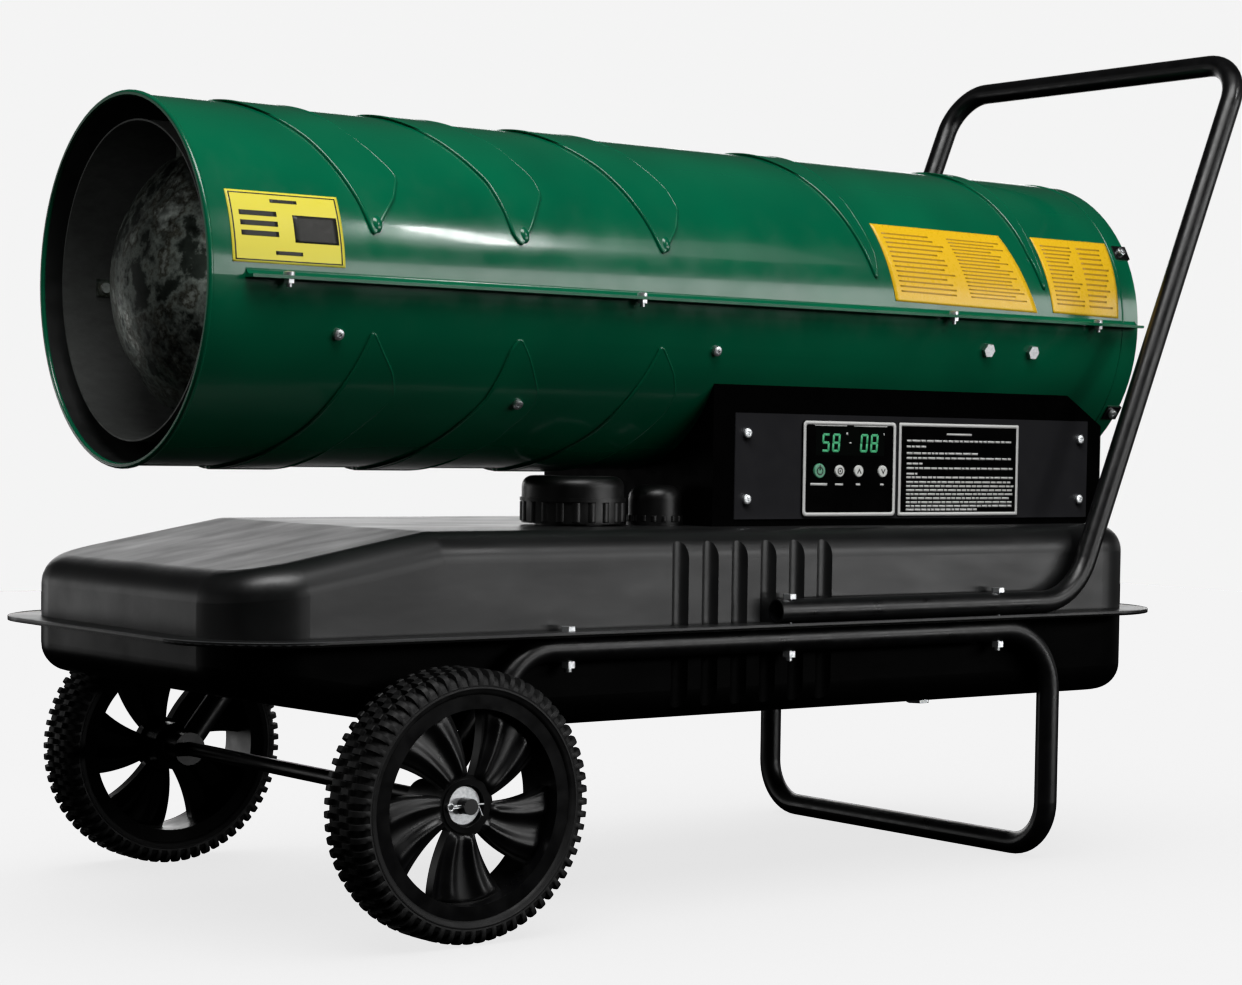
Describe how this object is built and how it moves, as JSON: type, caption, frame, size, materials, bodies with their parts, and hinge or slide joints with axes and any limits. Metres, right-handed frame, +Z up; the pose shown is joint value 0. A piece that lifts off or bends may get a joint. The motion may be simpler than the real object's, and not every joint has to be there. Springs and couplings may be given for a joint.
{
  "type": "forced air heater",
  "caption": "Forced air heater with a horizontal barrel burner on a long fuel tank, two wheels, a bent-tube frame and a tall tube handle.",
  "frame": {"origin": "on the floor, under the middle of the overall box", "axes": "+X from the hot-air outlet to the intake and the handle, +Z up, control panel on the -Y side"},
  "size_m": [1.085, 0.521, 0.748],
  "materials": {
    "black_paint": "satin powder coat",
    "green_paint": "gloss enamel",
    "grey_paint": "satin",
    "zinc_steel": "zinc plated",
    "heat_steel": "heat stained",
    "cast_aluminium": "cast",
    "chrome_case": "polished",
    "brass": "machined",
    "white_ceramic": "glazed",
    "tyre_rubber": "matte",
    "wheel_plastic": "moulded",
    "black_plastic": "moulded",
    "gloss_black_plastic": "gloss",
    "white_plastic": "moulded",
    "green_plastic": "moulded",
    "display_lens": "smoked",
    "board_green": "lacquered"
  },
  "bodies": {
    "heater": {"tank_upper": "black_paint", "tank_lower": "black_paint", "filler_neck": "black_paint", "fuel_strainer": "white_plastic", "fuel_gauge": "black_plastic", "drain_plug": "zinc_steel", "fuel_pickup": "white_plastic", "support_frame": "black_paint", "handle": "black_paint", "frame_bolts": "zinc_steel", "frame_nuts": "zinc_steel", "axle": "black_paint", "axle_washers": "zinc_steel", "cotter_pins": "zinc_steel", "upper_shell": "green_paint", "lower_shell": "green_paint", "shell_screws": "zinc_steel", "shell_nuts": "zinc_steel", "casing_screws": "zinc_steel", "heat_shield": "heat_steel", "combustion_chamber": "heat_steel", "flame_dome": "heat_steel", "dome_screws": "zinc_steel", "burner_head": "heat_steel", "fuel_nozzle": "brass", "nozzle_adaptor": "cast_aluminium", "electrodes": "white_ceramic", "photocell": "black_plastic", "motor_body": "grey_paint", "motor_bracket": "zinc_steel", "pump_body": "cast_aluminium", "pump_cover": "cast_aluminium", "pressure_gauge": "chrome_case", "rear_guard": "black_paint", "air_line": "white_plastic", "fuel_line": "white_plastic", "control_box": "black_paint", "side_panel": "black_paint", "panel_screws": "zinc_steel", "display_bezel": "gloss_black_plastic", "display_window": "display_lens", "circuit_board": "board_green", "info_plate": "gloss_black_plastic", "ignition_transformer": "black_plastic", "power_inlet": "black_plastic"},
    "wheel_left": {"wheel_rim_left": "wheel_plastic", "tyre_left": "tyre_rubber"},
    "wheel_right": {"wheel_rim_right": "wheel_plastic", "tyre_right": "tyre_rubber"},
    "rotor": {"fan": "cast_aluminium", "motor_shaft": "zinc_steel", "pump_rotor": "black_plastic"},
    "cap": {"filler_cap": "black_plastic"},
    "float": {"gauge_float": "white_plastic"},
    "power_key": {"button_power": "green_plastic"},
    "set_key": {"button_set": "white_plastic"},
    "up_key": {"button_up": "white_plastic"},
    "down_key": {"button_down": "white_plastic"}
  },
  "joints": [
    {"name": "wheel_left_spin", "type": "hinge", "parent": "heater", "child": "wheel_left", "pos_m": [-0.366, -0.235, 0.1015], "axis": [0, 1, 0], "continuous": true},
    {"name": "wheel_right_spin", "type": "hinge", "parent": "heater", "child": "wheel_right", "pos_m": [-0.366, 0.235, 0.1015], "axis": [0, 1, 0], "continuous": true},
    {"name": "fan_spin", "type": "hinge", "parent": "heater", "child": "rotor", "pos_m": [0.175, 0, 0.486], "axis": [1, 0, 0], "continuous": true},
    {"name": "cap_turn", "type": "hinge", "parent": "heater", "child": "cap", "pos_m": [-0.145, -0.062, 0.32], "axis": [0, 0, 1], "range_deg": [0, 90]},
    {"name": "float_rise", "type": "hinge", "parent": "heater", "child": "float", "pos_m": [-0.0715, -0.078, 0.285], "axis": [0, -1, 0], "range_deg": [0, 55]},
    {"name": "power_press", "type": "slide", "parent": "heater", "child": "power_key", "axis": [0, 1, 0], "range_m": [0, 0.0008], "stiffness_N_per_m": 300},
    {"name": "set_press", "type": "slide", "parent": "heater", "child": "set_key", "axis": [0, 1, 0], "range_m": [0, 0.0008], "stiffness_N_per_m": 300},
    {"name": "up_press", "type": "slide", "parent": "heater", "child": "up_key", "axis": [0, 1, 0], "range_m": [0, 0.0008], "stiffness_N_per_m": 300},
    {"name": "down_press", "type": "slide", "parent": "heater", "child": "down_key", "axis": [0, 1, 0], "range_m": [0, 0.0008], "stiffness_N_per_m": 300}
  ]
}
